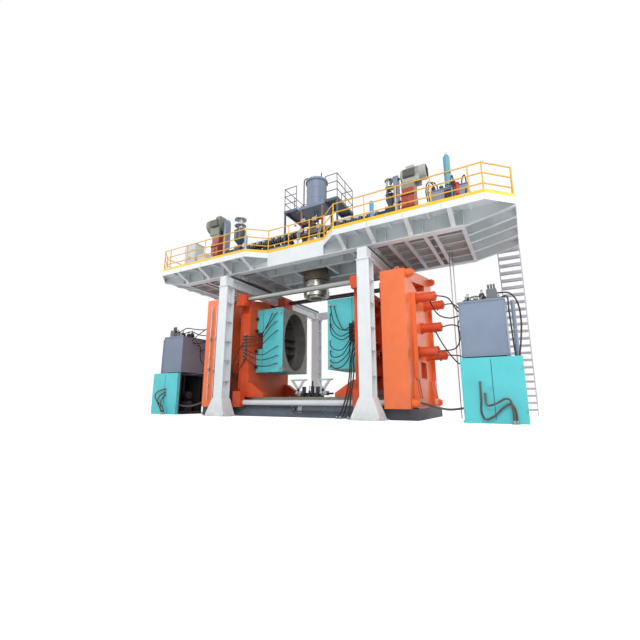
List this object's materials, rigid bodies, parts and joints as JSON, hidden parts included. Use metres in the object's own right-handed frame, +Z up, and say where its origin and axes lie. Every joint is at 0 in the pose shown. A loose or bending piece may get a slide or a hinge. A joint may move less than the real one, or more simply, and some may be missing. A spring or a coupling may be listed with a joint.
{
  "type": "blow moulding machine",
  "caption": "Extrusion blow moulding machine with a central accumulator head, extruders on a railed deck above, and a horizontal clamp that closes two mould halves",
  "frame": {"origin": "on the floor under the die head's axis", "axes": "+X along the clamping direction to the right as seen from the front, +Y to the back, +Z up"},
  "size_m": [17.82, 9.63, 11.95],
  "materials": {
    "bed_paint": "semi-gloss blue-grey machine paint",
    "dark_paint": "dark grey paint",
    "ground_steel": "ground and oiled steel",
    "orange_paint": "glossy orange-red enamel",
    "turquoise_paint": "glossy turquoise enamel",
    "pipe_steel": "dull metal pipe",
    "rack_iron": "oiled dark iron",
    "white_paint": "semi-gloss off-white paint",
    "grey_paint": "light grey paint",
    "yellow_paint": "glossy yellow enamel",
    "head_steel": "turned steel with dust and heat tint",
    "brown_paint": "brown primer with rust",
    "blue_grey_paint": "blue-grey machine paint",
    "red_paint": "dark red enamel",
    "motor_paint": "beige-grey enamel",
    "cabinet_paint": "light grey powder coat",
    "hose_rubber": "dull black rubber"
  },
  "bodies": {
    "frame": {"machine_bed": "bed_paint", "plate_bases": "dark_paint", "guide_rails": "ground_steel", "tie_bars": "ground_steel", "end_plate_left": "orange_paint", "end_plate_right": "orange_paint", "clamp_cylinders_left": "orange_paint", "clamp_cylinders_right": "orange_paint", "columns": "white_paint", "cross_beams": "white_paint", "deck_rails": "dark_paint", "deck_frame": "grey_paint", "deck_plate": "white_paint", "toe_board": "yellow_paint", "deck_handrail": "yellow_paint", "access_ladder": "grey_paint", "die_head": "head_steel", "head_frame": "brown_paint", "injection_cylinder": "blue_grey_paint", "service_platforms": "blue_grey_paint", "extruder_left": "dark_paint", "extruder_right": "dark_paint", "gearbox_left": "red_paint", "gearbox_right": "red_paint", "motor_left": "motor_paint", "motor_right": "motor_paint", "belt_guard_left": "blue_grey_paint", "belt_guard_right": "blue_grey_paint", "hopper_left": "dark_paint", "hopper_right": "dark_paint", "power_unit_left": "turquoise_paint", "power_unit_right": "turquoise_paint", "control_cabinet": "cabinet_paint", "deck_hydraulics": "blue_grey_paint", "spreader_base": "dark_paint", "power_hoses": "hose_rubber"},
    "left_clamp": {"platen_left": "orange_paint", "mould_half_left": "turquoise_paint", "piston_rods_left": "ground_steel", "cooling_manifold_left": "pipe_steel", "sync_rack_left": "rack_iron", "hoses_left": "hose_rubber"},
    "right_clamp": {"platen_right": "orange_paint", "mould_half_right": "turquoise_paint", "piston_rods_right": "ground_steel", "cooling_manifold_right": "dark_paint", "sync_rack_right": "rack_iron", "hoses_right": "hose_rubber"},
    "pinion": {"sync_pinion": "rack_iron"},
    "die_mandrel": {"mandrel": "ground_steel"},
    "ram": {"ram_rod": "ground_steel"},
    "screw_l": {"screw_left": "ground_steel"},
    "screw_r": {"screw_right": "ground_steel"},
    "gear_pulley_l": {"gear_pulley_left": "rack_iron"},
    "gear_pulley_r": {"gear_pulley_right": "rack_iron"},
    "motor_pulley_l": {"motor_pulley_left": "rack_iron"},
    "motor_pulley_r": {"motor_pulley_right": "rack_iron"},
    "door": {"cabinet_door": "cabinet_paint"},
    "spreader_l": {"spreader_arm_left": "ground_steel"},
    "spreader_r": {"spreader_arm_right": "ground_steel"}
  },
  "joints": [
    {"name": "left_clamp_slide", "type": "slide", "parent": "frame", "child": "left_clamp", "axis": [1, 0, 0], "range_m": [0, 1.1895]},
    {"name": "right_clamp_slide", "type": "slide", "parent": "frame", "child": "right_clamp", "axis": [-1, 0, 0], "range_m": [0, 1.1895]},
    {"name": "pinion_turn", "type": "hinge", "parent": "frame", "child": "pinion", "pos_m": [0, -1.85, 0.33], "axis": [0, 1, 0], "range_deg": [-1, 1140]},
    {"name": "die_gap_slide", "type": "slide", "parent": "frame", "child": "die_mandrel", "axis": [0, 0, 1], "range_m": [-0.03, 0.06]},
    {"name": "ram_slide", "type": "slide", "parent": "frame", "child": "ram", "axis": [0, 0, 1], "range_m": [-0.9, 0]},
    {"name": "screw_l_turn", "type": "hinge", "parent": "frame", "child": "screw_l", "pos_m": [-3, 0, 9.15], "axis": [1, 0, 0], "continuous": true},
    {"name": "gear_pulley_l_turn", "type": "hinge", "parent": "frame", "child": "gear_pulley_l", "pos_m": [-6.18, 0, 9.55], "axis": [1, 0, 0], "continuous": true},
    {"name": "motor_pulley_l_turn", "type": "hinge", "parent": "frame", "child": "motor_pulley_l", "pos_m": [-6.18, 0, 11.08], "axis": [1, 0, 0], "continuous": true},
    {"name": "screw_r_turn", "type": "hinge", "parent": "frame", "child": "screw_r", "pos_m": [3, 0, 9.15], "axis": [1, 0, 0], "continuous": true},
    {"name": "gear_pulley_r_turn", "type": "hinge", "parent": "frame", "child": "gear_pulley_r", "pos_m": [4.25, 0, 9.55], "axis": [1, 0, 0], "continuous": true},
    {"name": "motor_pulley_r_turn", "type": "hinge", "parent": "frame", "child": "motor_pulley_r", "pos_m": [4.25, 0, 10.7], "axis": [1, 0, 0], "continuous": true},
    {"name": "door_hinge", "type": "hinge", "parent": "frame", "child": "door", "pos_m": [-7.485, -1.845, 8.3], "axis": [0, 0, 1], "range_deg": [-110, 0]},
    {"name": "spreader_l_slide", "type": "slide", "parent": "frame", "child": "spreader_l", "axis": [-1, 0, 0], "range_m": [0, 0.15]},
    {"name": "spreader_r_slide", "type": "slide", "parent": "frame", "child": "spreader_r", "axis": [1, 0, 0], "range_m": [0, 0.15]}
  ],
  "couplings": [
    {"joint": "right_clamp_slide", "follows": "left_clamp_slide", "ratio": 1},
    {"joint": "pinion_turn", "follows": "left_clamp_slide", "rad_per_m": 16.667},
    {"joint": "spreader_l_slide", "follows": "spreader_r_slide", "ratio": 1},
    {"joint": "gear_pulley_l_turn", "follows": "screw_l_turn", "ratio": 8},
    {"joint": "motor_pulley_l_turn", "follows": "screw_l_turn", "ratio": 9.8462},
    {"joint": "gear_pulley_r_turn", "follows": "screw_r_turn", "ratio": 8},
    {"joint": "motor_pulley_r_turn", "follows": "screw_r_turn", "ratio": 9.8462}
  ]
}
